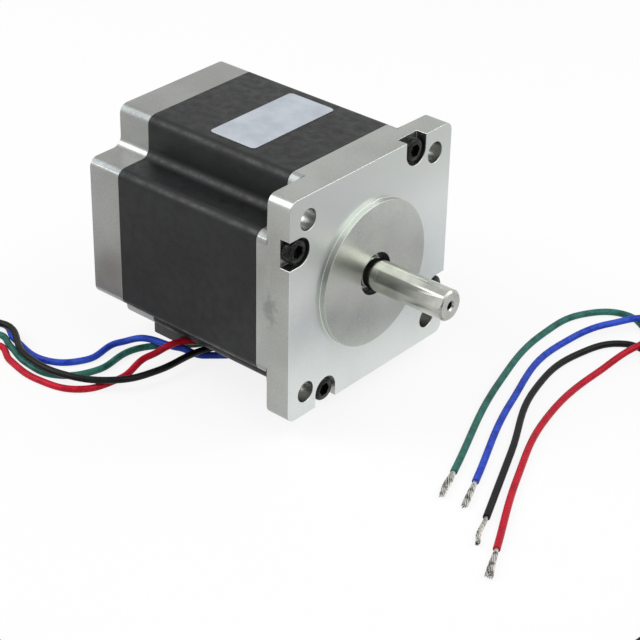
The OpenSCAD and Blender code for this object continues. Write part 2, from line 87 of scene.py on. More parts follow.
# %% [markdown]
# ## The leads
# Each lead is a thin PVC wire that lies on the table, and rests on another where they cross.
# A curve with a round bevel is the simplest true cord: its own line is the middle of the wire,
# so its length can be measured. The points are those of the solid leads. Handles that Blender
# sets by itself can dip below the table between two points, so they are set here: they lean
# from one neighbour to the other, and stay level.
#
# A bevel's depth is multiplied by each point's radius, and Blender counts that radius in the
# curve's box. So the wire's own radius is given to the points, and the depth is 1.

# %% Sizes of a lead, and the heights at which it lies, in millimetres
lead_width = 1.8 * mm
strip_length = 10.5 * mm
on_floor = -34.1
on_lead = -32
rising = -33
at_exit = -32.5
at_side = -32.6
on_top = -31.2

# %% Routes of the leads, in millimetres
# A point without a height lies on the floor.
lead_points = {
    "red": [
        (-49.2, -2, at_exit), (-46.5, -2, at_exit), (-41.8, -6.5, on_lead), (-43.6, -14, -31.4),
        (-46, -20.5, -30.1), (-49.2, -28, -32.2), (-49.3, -38.5), (-53, -48.5), (-64, -52.6),
        (-76, -51.3), (-84.5, -48.6), (-87, -54, rising), (-77, -76, on_lead), (-41, -110, on_lead),
        (5, -127.9, at_side), (52.5, -110.5), (90.5, -72), (106.4, -36), (93, 8), (62, 46.5),
        (52, 60.5, rising), (47.3, 66.8, on_lead), (42.8, 66.8, on_lead), (41.2, 60.5, on_lead),
        (38.9, 45), (41.5, 19), (51, -6), (63.5, -31),
    ],
    "black": [
        (-49.2, 2, at_exit), (-45.5, 2, at_exit), (-39.5, -2, at_exit), (-38.2, -9, on_lead),
        (-41.2, -18.5, on_lead), (-42.6, -32, on_lead), (-46.5, -41, on_lead),
        (-58.5, -48.7, on_lead), (-72.5, -49, on_lead), (-89.3, -42.9, on_lead),
        (-92.7, -49, on_lead), (-79, -78, on_lead), (-42.5, -112, on_lead), (5, -129.4, on_top),
        (52.5, -110.5, on_lead), (90.5, -72, on_lead), (106.4, -36, on_lead), (93, 8, on_lead),
        (60, 46, on_lead), (50.5, 57.5, rising), (43, 62.6), (36.5, 62.3), (30.2, 50), (31.5, 29),
        (43.5, 2), (54.7, -23),
    ],
    "green": [
        (-49.2, -6, at_exit), (-46.5, -6, at_exit), (-43.6, -9.5, -33.2), (-46.8, -14),
        (-53.2, -20.6), (-56.6, -27), (-56.5, -40), (-62.5, -48.2), (-72.5, -49.2), (-81, -46.7),
        (-88.2, -45), (-90.7, -51.3), (-77, -76), (-41, -110), (5, -129.4), (54, -112.5),
        (92.5, -73.5), (108.6, -36), (95.3, 9), (64.5, 49), (48.5, 67.5), (37, 72), (28.5, 75),
        (20, 68), (17.5, 53), (23, 25), (38.2, -13.8),
    ],
    "blue": [
        (-49.2, 6, at_exit), (-44.5, 6, at_exit), (-35, 1), (-34.5, -8), (-41, -16),
        (-46.3, -20.2, on_lead), (-55.5, -22.6, on_lead), (-61, -27, -33.5), (-62, -38), (-69, -45),
        (-82.6, -43.7), (-91.7, -40.9), (-95, -47.5), (-79, -78), (-42.5, -112),
        (5, -130.9, at_side), (54, -112.5, on_lead), (92.5, -73.5, on_lead), (108.6, -36, on_lead),
        (95.3, 9, on_lead), (66, 51, on_lead), (49, 73, on_lead), (37.5, 75.5, on_lead),
        (29.5, 65, on_lead), (24, 50), (30.5, 20), (44.4, -13.5),
    ],
}
lead_routes = {
    colour: [Vector((*point, on_floor)[:3]) * mm for point in points]
    for colour, points in lead_points.items()
}
print("points in each route:", {colour: len(route) for colour, route in lead_routes.items()})

# %% Lay the leads
handle_share = 0.39


def level_handles(before, here, after):
    """The two handles of a point, leaning from one neighbour to the other, at its own height."""
    into = here - before
    onward = after - here
    lean = (into.normalized() + onward.normalized()).normalized()
    left = here - lean * into.length * handle_share
    right = here + lean * onward.length * handle_share
    left.z = here.z
    right.z = here.z
    return left, right


def new_wire(name, depth, rounds):
    """A curve with a round bevel and no points yet."""
    curve = bpy.data.curves.new(name, "CURVE")
    curve.dimensions = "3D"
    curve.bevel_depth = depth
    curve.bevel_resolution = rounds
    curve.use_fill_caps = True
    return add_object(name, curve)


def lay_lead(colour):
    """One lead, as a curve along its route."""
    route = lead_routes[colour]
    beyond = [route[0] * 2 - route[1]] + route + [route[-1] * 2 - route[-2]]
    lead = new_wire(colour + "_insulation", 1, 5)
    lead.data.resolution_u = 10
    spline = lead.data.splines.new("BEZIER")
    spline.bezier_points.add(len(route) - 1)
    for index, point in enumerate(spline.bezier_points):
        point.co = route[index]
        point.handle_left_type = "FREE"
        point.handle_right_type = "FREE"
        point.handle_left, point.handle_right = level_handles(*beyond[index:index + 3])
        point.radius = lead_width / 2
    return lead


leads = {colour: lay_lead(colour) for colour in lead_routes}
print("laid", len(leads), "leads")

# %% [markdown]
# ## The bare ends
# A lead is stripped for about a centimetre. Under the insulation are fine tinned copper wires,
# which keep their twist and spread a little once they are free. They could be one bumpy rod, but
# in a close view the dark gaps between the wires make the difference, so each wire is a strand
# of its own. All strands of an end are splines of one curve, which is then made a mesh.

# %% Twist the strands
strand_width = 0.34 * mm
strand_rings = {"middle": (1, 0), "inner": (3, 0.2 * mm), "outer": (9, 0.46 * mm)}
strand_steps = 24
first_spread = 0.75
highest_spread = 1.2
uneven_spread = 0.15
uneven_length = 0.07
sway_share = 0.25
sway_turn = 3.5

# In place of a random draw: the sine of a strand's number times one of these
spread_draw = 5
length_draw = 7

# How far the strands spread half way and at the end, their turns, and their bend to a side
strand_looks = {
    "red": (1.5, 1.8, 0.5, 0.3),
    "black": (1.0, 1.0, 1.0, 1.3),
    "green": (2.6, 1.0, 0.6, 0.5),
    "blue": (1.6, 1.5, 0.4, 0.1),
}


def strand_points(start, ahead, ring, phase, look, seed):
    """The points along one strand, which winds about the others and spreads to the sides."""
    middle_spread, last_spread, turns, bend = look
    side = ahead.cross(Vector((0, 0, 1))).normalized()
    up = side.cross(ahead)
    own_length = strip_length * (1 - uneven_length * abs(math.sin(length_draw * seed)))
    for step in range(strand_steps + 1):
        share = step / strand_steps
        rest = 1 - share
        spread = first_spread * rest ** 2 + 2 * middle_spread * share * rest + last_spread * share ** 2
        wide = ring * (spread + uneven_spread * math.sin(spread_draw * seed) * share ** 2)
        high = ring * min(spread, highest_spread)
        turn = phase + 2 * math.pi * turns * share
        sway = bend * lead_width * sway_share * math.sin(sway_turn * share) * share
        across = side * (wide * math.cos(turn) + sway)
        yield start + ahead * own_length * share + across + up * high * math.sin(turn)


# %% Choose and smooth a piece
def work_on(piece):
    """Makes a piece the active one, with nothing else selected."""
    bpy.ops.object.select_all(action="DESELECT")
    piece.select_set(True)
    bpy.context.view_layer.objects.active = piece


def smooth(piece, angle):
    """Shades a piece smoothly, but for edges sharper than an angle in degrees."""
    work_on(piece)
    bpy.ops.object.shade_smooth_by_angle(angle=math.radians(angle))


# %% Make the bare ends
def bare_end(colour):
    """The twisted strands that stick out of one lead."""
    before, start = lead_routes[colour][-2:]
    ahead = (start - before).normalized()
    strands = new_wire(colour + "_strands", strand_width / 2, 2)
    seed = len(colour)
    for count, ring in strand_rings.values():
        for index in range(count):
            seed += 1
            phase = 2 * math.pi * index / count
            points = list(strand_points(start, ahead, ring, phase, strand_looks[colour], seed))
            spline = strands.data.splines.new("POLY")
            spline.points.add(len(points) - 1)
            for target, point in zip(spline.points, points):
                target.co = (*point, 1)
    work_on(strands)
    bpy.ops.object.convert(target="MESH")
    smooth(strands, 50)
    return strands


bare_ends = {colour: bare_end(colour) for colour in lead_routes}
print("faces of one bare end:", len(bare_ends["red"].data.polygons))

# %% Hang the leads on the motor
for colour, lead in leads.items():
    end = bare_ends[colour]
    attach(lead, "frame")
    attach(end, "frame")
    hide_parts(colour + "_lead")
    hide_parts(colour + "_lead_end")
print("leads ride on the frame")

# %% [markdown]
# ## Tools for the metalwork
# The metal parts are made as in a machine shop: start from a bar or a block, add what stands
# proud, then drill and mill. In Blender that is a primitive, a few extrusions, and Boolean
# modifiers that are applied at once. The exact solver is slower than the fast one, but it copes
# with faces that lie in one plane, of which a motor is full.

# %% Choose faces or edges
along_shaft = Vector((1, 0, 0))
upwards = Vector((0, 0, 1))

# Two directions count as the same where the cosine between them is above this
same_way = 0.9


def open_mesh(piece, kind, selected="DESELECT"):
    """Goes into edit mode with no vertex, edge or face selected, or with all of them."""
    work_on(piece)
    bpy.ops.object.mode_set(mode="EDIT")
    bpy.ops.mesh.select_mode(type=kind)
    bpy.ops.mesh.select_all(action=selected)


def close_mesh():
    """Goes back to object mode."""
    bpy.ops.object.mode_set(mode="OBJECT")


def tell_faces(piece):
    """Prints how many faces a piece has."""
    print("faces of", piece.name + ":", len(piece.data.polygons))


def pick(piece, kind, wanted):
    """Selects the faces or edges in edit mode that answer to a description."""
    mesh = bmesh.from_edit_mesh(piece.data)
    parts = mesh.faces if kind == "FACE" else mesh.edges
    for part in parts:
        if wanted(part):
            part.select_set(True)
    bmesh.update_edit_mesh(piece.data)


def runs_along(edge, axis):
    """Whether an edge is parallel to an axis."""
    span = edge.verts[1].co - edge.verts[0].co
    return abs(span.dot(axis)) > same_way * span.length


def round_edges(piece, axis, radius, steps=10):
    """Rounds the edges of a piece that are parallel to an axis."""
    open_mesh(piece, "EDGE")
    pick(piece, "EDGE", lambda edge: runs_along(edge, axis))
    bpy.ops.mesh.bevel(offset=radius, segments=steps, affect="EDGES", clamp_overlap=False)
    close_mesh()


# %% Add stock and take it away
def add_shape(name, primitive, **settings):
    """Adds a primitive with nothing else selected, and applies its place, turn and scale."""
    bpy.ops.object.select_all(action="DESELECT")
    primitive(**settings)
    bpy.ops.object.transform_apply(location=True, rotation=True, scale=True)
    shape = bpy.context.object
    shape.name = name
    return shape


def block(name, low, high):
    """A block between two corners."""
    low = Vector(low)
    high = Vector(high)
    cube = bpy.ops.mesh.primitive_cube_add
    return add_shape(name, cube, size=1, location=(low + high) / 2, scale=high - low)


def rod(name, rear, front, radius, y=0.0, z=0.0, sides=96):
    """A round bar along the shaft."""
    return add_shape(
        name, bpy.ops.mesh.primitive_cylinder_add, vertices=sides, radius=radius,
        depth=front - rear, location=((rear + front) / 2, y, z), rotation=(0, math.pi / 2, 0),
    )


def combine(piece, tool, operation):
    """Adds a tool's shape to a piece or takes it out. The tool is used up."""
    change = piece.modifiers.new("combine", "BOOLEAN")
    change.object = tool
    change.operation = operation
    change.solver = "EXACT"
    work_on(piece)
    bpy.ops.object.modifier_apply(modifier=change.name)
    bpy.data.objects.remove(tool)


def drill(piece, rear, front, radius, y=0.0, z=0.0, sides=64):
    """Drills a hole along the shaft."""
    combine(piece, rod("drill", rear, front, radius, y, z, sides), "DIFFERENCE")


def mill_ring(piece, rear, front, inner, outer):
    """Mills a ring-shaped groove round the shaft."""
    tool = rod("mill", rear, front, outer)
    drill(tool, rear - mm, front + mm, inner, sides=96)
    combine(piece, tool, "DIFFERENCE")


# %% Break the edges
merge_reach = 0.001 * mm
flat_angle = math.radians(0.5)


def break_edges(piece, width, steps=3, angle=40):
    """Gives all sharp edges of a piece the same small round, as a file or a tumbler does."""
    open_mesh(piece, "FACE", "SELECT")
    bpy.ops.mesh.remove_doubles(threshold=merge_reach)
    bpy.ops.mesh.dissolve_limited(angle_limit=flat_angle)
    bpy.ops.mesh.normals_make_consistent(inside=False)
    close_mesh()
    bevel = piece.modifiers.new("broken edges", "BEVEL")
    bevel.width = width
    bevel.segments = steps
    bevel.limit_method = "ANGLE"
    bevel.angle_limit = math.radians(angle)
    bevel.use_clamp_overlap = False
    bevel.harden_normals = True
    smooth(piece, angle)
    bpy.ops.object.modifier_apply(modifier=bevel.name)


# %% [markdown]
# ## The outline that the bells and the stack share
# The frame is a 60 mm square whose four corners are notched, which leaves room behind the flange
# for the mounting screws. An outline could be drawn point by point, but it is quicker to start
# from the narrow middle and pull its four sides out: the notches are what is left. All twelve
# long edges then take one bevel of the same radius, which rounds the corners and the notches.

# %% Notched bar
frame_width = 60 * mm
narrow_width = 38.4 * mm
corner_radius = 2.5 * mm


def is_middle_of(face, side):
    """Whether a face looks to one side and has its middle straight out from the shaft's axis."""
    middle = face.calc_center_median()
    aside = middle - side * middle.dot(side)
    return face.normal.dot(side) > same_way and aside.yz.length < merge_reach


def notched_bar(name, rear, front):
    """A bar with the outline of the frame, between two places along the shaft."""
    half = narrow_width / 2
    bar = block(name, (rear, -half, -half), (front, half, half))
    reach = frame_width / 2 - half
    open_mesh(bar, "FACE")
    for side in map(Vector, [(0, 1, 0), (0, -1, 0), (0, 0, 1), (0, 0, -1)]):
        bpy.ops.mesh.select_all(action="DESELECT")
        pick(bar, "FACE", lambda face: is_middle_of(face, side))
        bpy.ops.mesh.extrude_region_move(TRANSFORM_OT_translate={"value": side * reach})
    close_mesh()
    round_edges(bar, along_shaft, corner_radius)
    return bar


# %% [markdown]
# ## The front bell
# The front bell is one casting, machined all over on the outside: a square flange 7 mm thick
# with four mounting holes, a round pilot that centres the motor, and behind the flange a short
# stretch with the notched outline. Each screw head sits in a pocket that is milled in from a
# side of the flange, so the four pockets look like a pinwheel.

# %% Blank of the front bell
stack_front = -10.5 * mm
flange_thickness = 7 * mm
pilot_height = 1.6 * mm
pilot_radius = 38.1 * mm / 2
overlap = 1 * mm


def flange_blank():
    """The square flange with its four long corners rounded."""
    half = frame_width / 2
    flange = block("front_bell_casting", (-flange_thickness, -half, -half), (0, half, half))
    round_edges(flange, along_shaft, corner_radius)
    return flange


front_bell = flange_blank()
combine(front_bell, notched_bar("neck", stack_front, -flange_thickness + overlap), "UNION")
combine(front_bell, rod("pilot", -overlap, pilot_height, pilot_radius, sides=160), "UNION")
tell_faces(front_bell)

# %% Sizes of the front bell's holes
hole_offset = 47.14 * mm / 2
hole_radius = 5.5 * mm / 2
screw_far = 26.6 * mm
screw_aside = 16.1 * mm
screw_hole_radius = 2.1 * mm
pocket_radius = 7.4 * mm / 2
pocket_depth = 3 * mm
shaft_hole_radius = 11 * mm / 2
bearing_radius = 22.04 * mm / 2
front_bearing = (-7.4 * mm, -0.4 * mm)
winding_room = (14.5 * mm, 25.5 * mm)
winding_room_depth = 5.3 * mm
bell_edge = 0.2 * mm

screw_places = []
for quarter in range(4):
    turn = Matrix.Rotation(-quarter * math.pi / 2, 2)
    screw_places.append(turn @ Vector((-screw_far, screw_aside)))
print("the first screw stands", round(screw_places[0].length / mm, 1), "mm from the shaft's axis")


# %% Pockets for the screws' heads
def mill_pocket(piece, place):
    """A pocket for a screw head, open towards the nearest side of the flange."""
    outwards = Vector((math.copysign(1, place.x), 0))
    if abs(place.y) > abs(place.x):
        outwards = Vector((0, math.copysign(1, place.y)))
    across = Vector((abs(outwards.y), abs(outwards.x))) * pocket_radius
    low = Vector(map(min, place - across, place + across + outwards * pocket_radius * 2))
    high = Vector(map(max, place - across, place + across + outwards * pocket_radius * 2))
    tool = rod("cutter", -pocket_depth, overlap, pocket_radius, *place, sides=64)
    slot = block("slot", (-pocket_depth, *low), (overlap, *high))
    combine(tool, slot, "UNION")
    combine(piece, tool, "DIFFERENCE")


# %% Drill and mill the front bell
for side in (-1, 1):
    for level in (-1, 1):
        drill(front_bell, stack_front, overlap, hole_radius, side * hole_offset, level * hole_offset)
for place in screw_places:
    mill_pocket(front_bell, place)
    drill(front_bell, stack_front - overlap, overlap, screw_hole_radius, *place, sides=32)
drill(front_bell, stack_front - overlap, pilot_height + overlap, shaft_hole_radius, sides=96)
drill(front_bell, stack_front - overlap, front_bearing[1], bearing_radius, sides=96)
mill_ring(front_bell, stack_front - overlap, stack_front + winding_room_depth, *winding_room)
break_edges(front_bell, bell_edge)
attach(front_bell, "frame")
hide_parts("front_bell")
tell_faces(front_bell)

# %% [markdown]
# ## The rear bell
# The rear bell has the same outline, a closed back, and tapped holes for the four screws. It
# could be a mirrored copy of the front one, but it shares only the outline, so it gets its own
# bar.

# %% Make the rear bell
rear_face = -66 * mm
stack_rear = -56 * mm
rear_bearing_front = -56.7 * mm
rear_wall = 1.5 * mm
thread_radius = 1.77 * mm
tongue_half = 13.5 * mm
tongue_top = -25 * mm
outlet_rear = -60.2 * mm

rear_bell = notched_bar("rear_bell_casting", rear_face, stack_rear)
drill(rear_bell, rear_face + rear_wall, stack_rear + overlap, bearing_radius, sides=96)
mill_ring(rear_bell, stack_rear - winding_room_depth, stack_rear + overlap, *winding_room)
for place in screw_places:
    drill(rear_bell, rear_face - overlap, stack_rear + overlap, thread_radius, *place, sides=32)
tongue_slot = block(
    "tongue_slot",
    (outlet_rear, -tongue_half, -frame_width / 2 - overlap),
    (stack_rear + overlap, tongue_half, tongue_top),
)
combine(rear_bell, tongue_slot, "DIFFERENCE")
break_edges(rear_bell, bell_edge)
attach(rear_bell, "frame")
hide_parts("rear_bell")
tell_faces(rear_bell)

# %% [markdown]
# ## The stator stack
# The stack is cut from the same bar. Inside it are eight poles with six teeth each, and between
# them the slots for the windings. The room inside has an outline that repeats eight times, so
# it is worked out for one pole in a function, put round a circle's points, and used as a cutter.

# %% Outline of the room inside the stack
bore_radius = 16.15 * mm
yoke_radius = 23.8 * mm
tooth_depth = 0.8 * mm
tip_back = bore_radius + 1.5 * mm
neck_start = bore_radius + 2 * mm
pole_half = 3 * mm
pole_count = 8
pole_teeth = 6
tooth_pitch = math.radians(7.2)
tooth_half = math.radians(1.45)
tooth_relief = math.radians(0.2)
pole_pitch = 2 * math.pi / pole_count
yoke_steps = 8


def polar(radius, angle):
    """A point across the shaft at a radius and an angle."""
    return Vector((radius * math.cos(angle), radius * math.sin(angle)))


def pole_room(middle):
    """The outline from one slot's outer wall, round a pole's teeth, to the next slot."""
    neck_angle = math.asin(pole_half / yoke_radius)
    shoulder = math.atan2(pole_half, neck_start)
    shoulder_radius = math.hypot(pole_half, neck_start)
    tip_half = (pole_teeth - 1) / 2 * tooth_pitch + tooth_half
    arc = pole_pitch - 2 * neck_angle
    for step in range(yoke_steps + 1):
        yield polar(yoke_radius, middle - pole_pitch + neck_angle + arc * step / yoke_steps)
    yield polar(shoulder_radius, middle - shoulder)
    yield polar(tip_back, middle - tip_half)
    for tooth in range(pole_teeth):
        at = middle + (tooth - (pole_teeth - 1) / 2) * tooth_pitch
        yield polar(bore_radius, at - tooth_half)
        yield polar(bore_radius, at + tooth_half)
        if tooth < pole_teeth - 1:
            yield polar(bore_radius + tooth_depth, at + tooth_half + tooth_relief)
            yield polar(bore_radius + tooth_depth, at + tooth_pitch - tooth_half - tooth_relief)
    yield polar(tip_back, middle + tip_half)
    yield polar(shoulder_radius, middle + shoulder)


room = [point for pole in range(pole_count) for point in pole_room(pole * pole_pitch)]
print("points round the room:", len(room))


# %% A bar with any outline
def closed_line(name, points, fill="NOTHING"):
    """A closed line through points, made from those of a circle."""
    circle = bpy.ops.mesh.primitive_circle_add
    line = add_shape(name, circle, vertices=len(points), radius=mm, fill_type=fill)
    for vertex, point in zip(line.data.vertices, points):
        vertex.co = point
    return line


def bar_with_outline(name, outline, rear, front):
    """A bar along the shaft whose section has the given points."""
    bar = closed_line(name, [(rear, *point) for point in outline], "NGON")
    open_mesh(bar, "FACE", "SELECT")
    bpy.ops.mesh.extrude_region_move(TRANSFORM_OT_translate={"value": (front - rear, 0, 0)})
    bpy.ops.mesh.select_all(action="SELECT")
    bpy.ops.mesh.normals_make_consistent(inside=False)
    close_mesh()
    return bar


# %% Make the stack
stack = notched_bar("stator_laminations", stack_rear, stack_front)
cutter = bar_with_outline("room", room, stack_rear - overlap, stack_front + overlap)
combine(stack, cutter, "DIFFERENCE")
for place in screw_places:
    drill(stack, stack_rear - overlap, stack_front + overlap, screw_hole_radius, *place, sides=32)
open_mesh(stack, "FACE", "SELECT")
bpy.ops.mesh.dissolve_limited(angle_limit=flat_angle)
close_mesh()
smooth(stack, 30)
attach(stack, "frame")
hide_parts("stator_stack")
tell_faces(stack)

# %% [markdown]
# ## The shaft
# A shaft is turned on a lathe, and Spin does the same: half of its section, drawn from the axis
# out, goes once round. The section's points are put on a circle's vertices, because a circle is
# the primitive that is already a closed line. The flat is milled afterwards, as on the real one.

# %% Lathe
def lathe(name, section, sides=96):
    """Turns a closed section, given as (place along the shaft, radius), about the shaft's axis."""
    piece = closed_line(name, [(place, radius, 0) for place, radius in section])
    open_mesh(piece, "EDGE", "SELECT")
    bpy.ops.mesh.spin(steps=sides, angle=2 * math.pi, center=(0, 0, 0), axis=(1, 0, 0))
    bpy.ops.mesh.select_all(action="SELECT")
    bpy.ops.mesh.remove_doubles(threshold=merge_reach)
    bpy.ops.mesh.dissolve_degenerate(threshold=merge_reach / 10)
    bpy.ops.mesh.normals_make_consistent(inside=False)
    close_mesh()
    return piece


# %% Turn the shaft
shaft_radius = 4 * mm
core_radius = 5 * mm
shaft_tip = 24.5 * mm
shaft_tail = -64.2 * mm
tip_chamfer = 0.5 * mm
centre_hole = 1 * mm
centre_sink = 1.4 * mm
centre_depth = 4 * mm
drill_point_share = 0.6
relief_rear = 0.4 * mm
relief_front = 1.4 * mm
relief_radius = 3.75 * mm
flat_height = 3.75 * mm
flat_length = 20 * mm
flat_turn = math.radians(151)
shaft_edge = 0.07 * mm

shaft = lathe("ground_shaft", [
    (shaft_tail, 0),
    (shaft_tail, shaft_radius - tip_chamfer),
    (shaft_tail + tip_chamfer, shaft_radius),
    (rear_bearing_front, shaft_radius),
    (rear_bearing_front, core_radius),
    (front_bearing[0], core_radius),
    (front_bearing[0], shaft_radius),
    (relief_rear, shaft_radius),
    (relief_rear, relief_radius),
    (relief_front, relief_radius),
    (relief_front, shaft_radius),
    (shaft_tip - tip_chamfer, shaft_radius),
    (shaft_tip, shaft_radius - tip_chamfer),
    (shaft_tip, centre_sink),
    (shaft_tip - centre_sink + centre_hole, centre_hole),
    (shaft_tip - centre_depth, centre_hole),
    (shaft_tip - centre_depth - centre_hole * drill_point_share, 0),
])
milling = block(
    "milling",
    (shaft_tip - flat_length, flat_height, -2 * shaft_radius),
    (shaft_tip + overlap, 3 * shaft_radius, 2 * shaft_radius),
)
milling.matrix_world = Matrix.Rotation(flat_turn, 4, "X")
combine(shaft, milling, "DIFFERENCE")
break_edges(shaft, shaft_edge, steps=2, angle=25)
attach(shaft, "rotor")
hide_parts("shaft")
tell_faces(shaft)

# %% [markdown]
# ## The tie screws
# Four long screws with hexagon sockets hold the motor together. One is made with all that shows
# in its pocket: a chamfered head with knurling round it, and a socket with six sides. The other
# three are copies with their own mesh, so that each can be exported as a piece of its own.

# %% Make one tie screw
head_radius = 3.1 * mm
head_height = 2.6 * mm
head_chamfer = 0.4 * mm
shank_radius = 1.75 * mm
shank_length = 61 * mm
socket_radius = 3 * mm / 2 / math.cos(math.pi / 6)
socket_depth = 1.5 * mm
knurl_count = 36
knurl_depth = 0.09 * mm
screw_edge = 0.05 * mm


def tie_screw():
    """A socket head screw on the shaft's axis, whose head stands on the pockets' floor."""
    seat = -pocket_depth
    top = seat + head_height
    screw = lathe("tie_screw", [
        (seat - shank_length, 0),
        (seat - shank_length, shank_radius - head_chamfer),
        (seat - shank_length + head_chamfer, shank_radius),
        (seat, shank_radius),
        (seat, head_radius),
        (top - head_chamfer, head_radius),
        (top, head_radius - head_chamfer),
        (top, 0),
    ], sides=2 * knurl_count)
    socket = rod("socket", top - socket_depth, top + overlap, socket_radius, sides=6)
    combine(screw, socket, "DIFFERENCE")
    for vertex in screw.data.vertices:
        radius = vertex.co.yz.length
        ridge = round(math.atan2(vertex.co.z, vertex.co.y) / math.pi * knurl_count)
        if abs(radius - head_radius) < 10 * merge_reach and ridge % 2 == 1:
            vertex.co.yz *= 1 - knurl_depth / head_radius
    break_edges(screw, screw_edge, steps=2, angle=50)
    return screw


first_screw = tie_screw()
tell_faces(first_screw)

# %% Put a screw in each pocket
corner_names = ("upper_left", "upper_right", "lower_right", "lower_left")
screws = []
for corner, place in zip(corner_names, screw_places):
    mesh = first_screw.data.copy()
    mesh.transform(Matrix.Rotation(place.angle_signed(Vector((1, 0))), 4, "X"))
    mesh.transform(Matrix.Translation((0, *place)))
    screw = add_object("tie_screw_" + corner, mesh)
    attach(screw, "frame")
    screws.append(screw)
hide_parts("tie_screws")
bpy.data.objects.remove(first_screw)
print("screws:", [screw.name for screw in screws])

# %% [markdown]
# ## The lead outlet
# The leads pass through a small moulded block under the rear bell. Moulded plastic has no sharp
# edges, so its rounds are larger than those of the machined parts. Round each lead is a raised
# bead that keeps it from bending at the mouth of its hole: a torus, half sunk in the block.

# %% Mould the block
outlet_front = -49.2 * mm
outlet_half = 15.5 * mm
outlet_top = -30 * mm
outlet_bottom = -35 * mm
outlet_round = 1 * mm
outlet_edge = 0.3 * mm
tongue_front = -56.05 * mm
tongue_gap = 0.05 * mm
tongue_clear_above = 1.3 * mm

outlet = block(
    "outlet_moulding",
    (outlet_rear, -outlet_half, outlet_bottom),
    (outlet_front, outlet_half, outlet_top),
)
round_edges(outlet, upwards, outlet_round, steps=8)
tongue = block(
    "tongue",
    (outlet_rear + tongue_gap, -tongue_half + tongue_gap, (outlet_top + outlet_bottom) / 2),
    (tongue_front, tongue_half - tongue_gap, tongue_top - tongue_clear_above),
)
combine(outlet, tongue, "UNION")
break_edges(outlet, outlet_edge, steps=4)

# %% Bead round each lead
bead_radius = 1.15 * mm
bead_thickness = 0.32 * mm


def bead(middle):
    """A ring that lies round one lead, half sunk in the block's front face."""
    return add_shape(
        "bead", bpy.ops.mesh.primitive_torus_add, major_radius=bead_radius,
        minor_radius=bead_thickness, major_segments=32, minor_segments=12,
        location=(outlet_front, middle.y, middle.z), rotation=(0, math.pi / 2, 0),
    )


for route in lead_routes.values():
    combine(outlet, bead(route[0]), "UNION")
smooth(outlet, 40)
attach(outlet, "frame")
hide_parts("lead_outlet")
tell_faces(outlet)

# %% [markdown]
# ## The label
# On top of the stack is a small label of silver film with rounded corners. It is left bare. It
# is only 0.15 mm thick, but it is still modelled as a plate, because its edge catches the light.

# %% Cut the label
label_front = -24.9 * mm
label_rear = -39.5 * mm
label_half = 14.9 * mm
label_thickness = 0.15 * mm
label_corner = 1.2 * mm
label_edge = 0.05 * mm

label = block(
    "label_film",
    (label_rear, -label_half, frame_width / 2),
    (label_front, label_half, frame_width / 2 + label_thickness),
)
round_edges(label, upwards, label_corner)
break_edges(label, label_edge, steps=2)
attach(label, "frame")
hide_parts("label")
tell_faces(label)

# %% [markdown]
# ## How the finishes are written
# A finish is a small sum: a base colour, plus soft clouds, plus fine grain, and a height that
# turns into bumps. Node by node that takes pages, so one class wraps a node's output and lets
# Python's signs add the Math nodes. Colours go through Mix nodes, because a Math node would turn
# them grey. Every pattern reads Object coordinates in metres, so a size in the code is a real one.

# %% Signals
class Signal:
    """The output of a node, which can be used in sums."""

    def __init__(self, finish, socket):
        self.finish = finish
        self.socket = socket

    def __add__(self, other):
        return self.finish.maths("ADD", self, other)

    __radd__ = __add__

    def __sub__(self, other):
        return self.finish.maths("SUBTRACT", self, other)

    def __rsub__(self, other):
        return self.finish.maths("SUBTRACT", other, self)

    def __mul__(self, other):
        return self.finish.maths("MULTIPLY", self, other)


# %% Colours
def tone(red, green, blue):
    """A colour from the screen values of 0 to 255 that it should show."""
    light = []
    for value in (red, green, blue):
        share = value / 255
        light.append(((share + 0.055) / 1.055) ** 2.4 if share > 0.04 else share / 12.92)
    return (*light, 1)


print("a screen tone of 128 is", round(tone(128, 128, 128)[0], 3), "in light")


# %% A tree of nodes
class Nodes:
    """A tree of nodes, to which new ones are added by name."""

    def __init__(self, tree):
        self.tree = tree

    def node(self, kind, settings=None, values=None, output=0):
        """A new node with its settings, then its sockets' values or links."""
        node = self.tree.nodes.new(kind)
        for name, setting in (settings or {}).items():
            setattr(node, name, setting)
        for socket, value in (values or {}).items():
            self.feed(node.inputs[socket], value)
        return Signal(self, node.outputs[output])

    def feed(self, socket, value):
        """Links a signal to a socket, or sets the socket to a plain value."""
        if isinstance(value, Signal):
            self.tree.links.new(value.socket, socket)
        else:
            socket.default_value = value

    def maths(self, operation, first, second=0.0):
        """A calculation with one or two numbers."""
        return self.node("ShaderNodeMath", {"operation": operation}, {0: first, 1: second})

    def vectors(self, operation, first, second=(0, 0, 0), output="Value"):
        """A calculation with one or two places or directions."""
        values = {0: first, 1: second}
        return self.node("ShaderNodeVectorMath", {"operation": operation}, values, output)

    def between(self, value, low, high):
        """How far a value is from low to high, as a soft step from 0 to 1."""
        return self.node("ShaderNodeMapRange", {"interpolation_type": "SMOOTHSTEP"}, {
            "Value": value, "From Min": low, "From Max": high,
        })

    def ray(self, kind):
        """1 for rays of one kind, 0 for all others."""
        return self.node("ShaderNodeLightPath", output=f"Is {kind} Ray")


